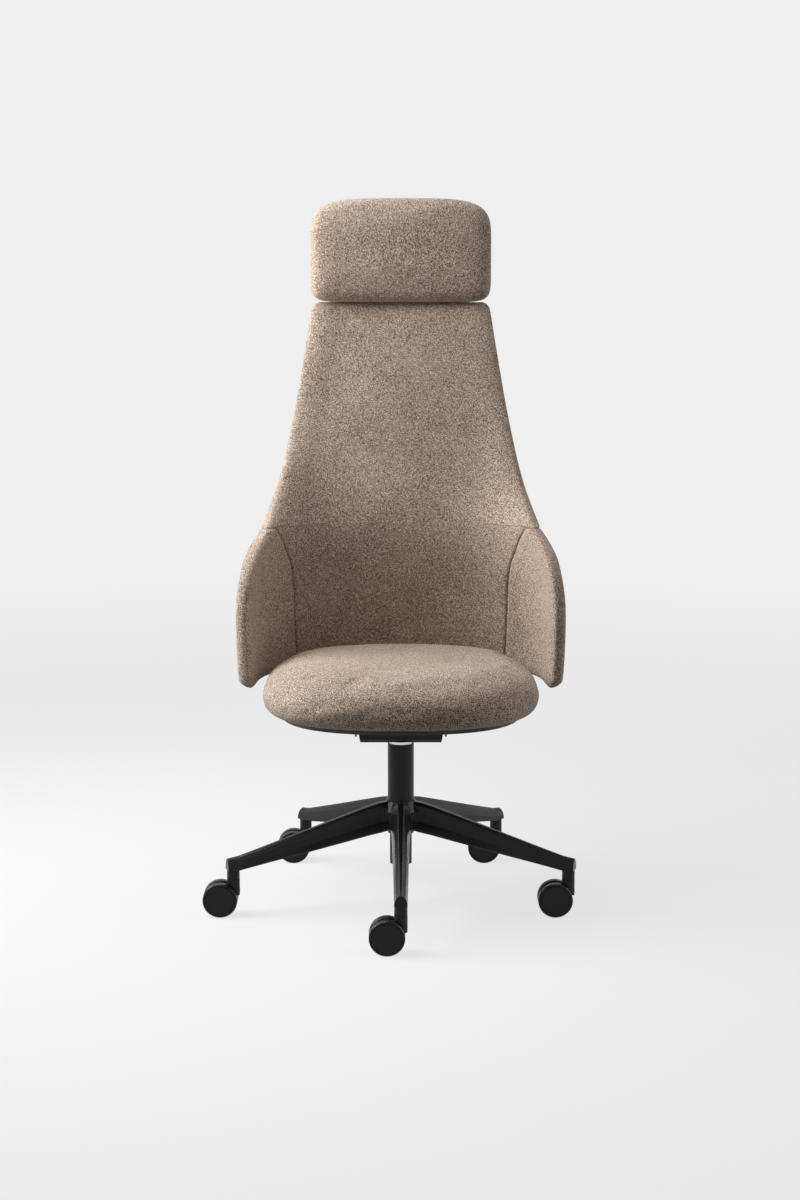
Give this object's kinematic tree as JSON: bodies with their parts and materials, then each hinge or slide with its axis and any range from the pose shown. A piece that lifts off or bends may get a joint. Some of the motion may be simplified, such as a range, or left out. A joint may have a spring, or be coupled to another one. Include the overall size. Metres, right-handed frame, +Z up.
{
  "type": "executive office chair",
  "caption": "High-backed executive office chair with an upholstered shell, side wings, headrest, reclining mechanism, gas lift and a star base on casters.",
  "frame": {"origin": "on the floor under the column's axis", "axes": "+Z up, -Y towards the front of the seat, +X to the right as the chair is seen from the front"},
  "size_m": [0.7007, 0.7085, 1.3387],
  "materials": {
    "cast_aluminium_black": "cast aluminium with a smooth satin black coat",
    "black_steel": "fine-grained black powder coat",
    "bright_steel": "ground steel",
    "chrome": "polished chrome",
    "spring_steel": "oiled spring wire",
    "zinc_screws": "black zinc",
    "black_plastic": "finely textured moulding",
    "grey_plastic": "smooth acetal",
    "black_rubber": "moulded rubber",
    "wheel_black": "glossy tread around a matt centre",
    "moulded_plywood": "moulded plywood",
    "wool_felt": "melange wool cloth, beige and brown"
  },
  "bodies": {
    "base": {"star_base": "cast_aluminium_black", "column_tube": "black_steel", "guide_bush": "grey_plastic", "column_collar": "chrome", "thrust_bearing": "bright_steel", "socket_sleeves": "grey_plastic"},
    "rod": {"piston_rod": "bright_steel", "piston": "grey_plastic", "rubber_buffer": "black_rubber", "retaining_clip": "bright_steel"},
    "mechanism": {"gas_cylinder": "chrome", "mechanism_housing": "cast_aluminium_black", "front_axle": "bright_steel", "main_axle": "bright_steel", "axle_clips": "bright_steel", "recline_spring": "spring_steel", "spring_seat": "black_steel", "preload_screws": "zinc_screws", "lever_pivot_pin": "bright_steel"},
    "button": {"release_button": "bright_steel"},
    "height_handle": {"height_lever": "black_plastic"},
    "lock_handle": {"lock_lever": "black_plastic"},
    "seat": {"seat_plate": "black_steel", "seat_board": "moulded_plywood", "seat_pan": "black_plastic", "seat_cushion": "wool_felt", "seat_screws": "zinc_screws"},
    "back": {"back_carrier": "black_steel", "link_pin": "bright_steel", "back_bracket": "black_steel", "bracket_screws": "zinc_screws", "core_shell": "moulded_plywood", "back_pad": "wool_felt", "wing_pad_left": "wool_felt", "wing_pad_right": "wool_felt", "back_cover": "wool_felt", "headrest_guide": "grey_plastic"},
    "headrest": {"headrest_stem": "chrome", "headrest_core": "moulded_plywood", "headrest_cushion": "wool_felt"},
    "caster_1": {"caster_1_housing": "black_plastic", "caster_1_pins": "bright_steel"},
    "wheel_1_left": {"wheel_1_left": "wheel_black"},
    "wheel_1_right": {"wheel_1_right": "wheel_black"},
    "caster_2": {"caster_2_housing": "black_plastic", "caster_2_pins": "bright_steel"},
    "wheel_2_left": {"wheel_2_left": "wheel_black"},
    "wheel_2_right": {"wheel_2_right": "wheel_black"},
    "caster_3": {"caster_3_housing": "black_plastic", "caster_3_pins": "bright_steel"},
    "wheel_3_left": {"wheel_3_left": "wheel_black"},
    "wheel_3_right": {"wheel_3_right": "wheel_black"},
    "caster_4": {"caster_4_housing": "black_plastic", "caster_4_pins": "bright_steel"},
    "wheel_4_left": {"wheel_4_left": "wheel_black"},
    "wheel_4_right": {"wheel_4_right": "wheel_black"},
    "caster_5": {"caster_5_housing": "black_plastic", "caster_5_pins": "bright_steel"},
    "wheel_5_left": {"wheel_5_left": "wheel_black"},
    "wheel_5_right": {"wheel_5_right": "wheel_black"}
  },
  "joints": [
    {"name": "seat_swivel", "type": "hinge", "parent": "base", "child": "rod", "pos_m": [0, 0, 0.08], "axis": [0, 0, 1], "continuous": true},
    {"name": "seat_height", "type": "slide", "parent": "rod", "child": "mechanism", "axis": [0, 0, 1], "range_m": [0, 0.1]},
    {"name": "back_recline", "type": "hinge", "parent": "mechanism", "child": "back", "pos_m": [0, 0.055, 0.357], "axis": [-1, 0, 0], "range_deg": [0, 20], "stiffness_Nm_per_rad": 90, "springref_deg": -28.65, "deforming": ["recline_spring"]},
    {"name": "seat_tilt", "type": "hinge", "parent": "mechanism", "child": "seat", "pos_m": [0, -0.11528, 0.36], "axis": [-1, 0, 0], "range_deg": [0, 7.2]},
    {"name": "height_lever_lift", "type": "hinge", "parent": "mechanism", "child": "height_handle", "pos_m": [0.066, 0, 0.3668], "axis": [0, -1, 0], "range_deg": [0, 3], "stiffness_Nm_per_rad": 4, "springref_deg": -5.73},
    {"name": "button_press", "type": "slide", "parent": "mechanism", "child": "button", "axis": [0, 0, -1], "range_m": [0, 0.0037]},
    {"name": "tilt_lock", "type": "slide", "parent": "mechanism", "child": "lock_handle", "axis": [1, 0, 0], "range_m": [0, 0.008]},
    {"name": "headrest_height", "type": "slide", "parent": "back", "child": "headrest", "axis": [0, 0.2099, 0.9777], "range_m": [0, 0.06]},
    {"name": "caster_1_swivel", "type": "hinge", "parent": "base", "child": "caster_1", "pos_m": [0, -0.3305, 0.07], "axis": [0, 0, 1], "continuous": true},
    {"name": "wheel_1_left_spin", "type": "hinge", "parent": "caster_1", "child": "wheel_1_left", "pos_m": [-0.0245, -0.3305, 0.0325], "axis": [0, 1, 0], "continuous": true},
    {"name": "wheel_1_right_spin", "type": "hinge", "parent": "caster_1", "child": "wheel_1_right", "pos_m": [-0.0245, -0.3305, 0.0325], "axis": [0, 1, 0], "continuous": true},
    {"name": "caster_2_swivel", "type": "hinge", "parent": "base", "child": "caster_2", "pos_m": [0.31432, -0.10213, 0.07], "axis": [0, 0, 1], "continuous": true},
    {"name": "wheel_2_left_spin", "type": "hinge", "parent": "caster_2", "child": "wheel_2_left", "pos_m": [0.28982, -0.10213, 0.0325], "axis": [0, 1, 0], "continuous": true},
    {"name": "wheel_2_right_spin", "type": "hinge", "parent": "caster_2", "child": "wheel_2_right", "pos_m": [0.28982, -0.10213, 0.0325], "axis": [0, 1, 0], "continuous": true},
    {"name": "caster_3_swivel", "type": "hinge", "parent": "base", "child": "caster_3", "pos_m": [0.19426, 0.26738, 0.07], "axis": [0, 0, 1], "continuous": true},
    {"name": "wheel_3_left_spin", "type": "hinge", "parent": "caster_3", "child": "wheel_3_left", "pos_m": [0.16976, 0.26738, 0.0325], "axis": [0, 1, 0], "continuous": true},
    {"name": "wheel_3_right_spin", "type": "hinge", "parent": "caster_3", "child": "wheel_3_right", "pos_m": [0.16976, 0.26738, 0.0325], "axis": [0, 1, 0], "continuous": true},
    {"name": "caster_4_swivel", "type": "hinge", "parent": "base", "child": "caster_4", "pos_m": [-0.19426, 0.26738, 0.07], "axis": [0, 0, 1], "continuous": true},
    {"name": "wheel_4_left_spin", "type": "hinge", "parent": "caster_4", "child": "wheel_4_left", "pos_m": [-0.21876, 0.26738, 0.0325], "axis": [0, 1, 0], "continuous": true},
    {"name": "wheel_4_right_spin", "type": "hinge", "parent": "caster_4", "child": "wheel_4_right", "pos_m": [-0.21876, 0.26738, 0.0325], "axis": [0, 1, 0], "continuous": true},
    {"name": "caster_5_swivel", "type": "hinge", "parent": "base", "child": "caster_5", "pos_m": [-0.31432, -0.10213, 0.07], "axis": [0, 0, 1], "continuous": true},
    {"name": "wheel_5_left_spin", "type": "hinge", "parent": "caster_5", "child": "wheel_5_left", "pos_m": [-0.33882, -0.10213, 0.0325], "axis": [0, 1, 0], "continuous": true},
    {"name": "wheel_5_right_spin", "type": "hinge", "parent": "caster_5", "child": "wheel_5_right", "pos_m": [-0.33882, -0.10213, 0.0325], "axis": [0, 1, 0], "continuous": true}
  ],
  "couplings": [
    {"joint": "seat_tilt", "follows": "back_recline", "ratio": 0.36},
    {"joint": "button_press", "follows": "height_lever_lift", "m_per_rad": 0.07}
  ]
}
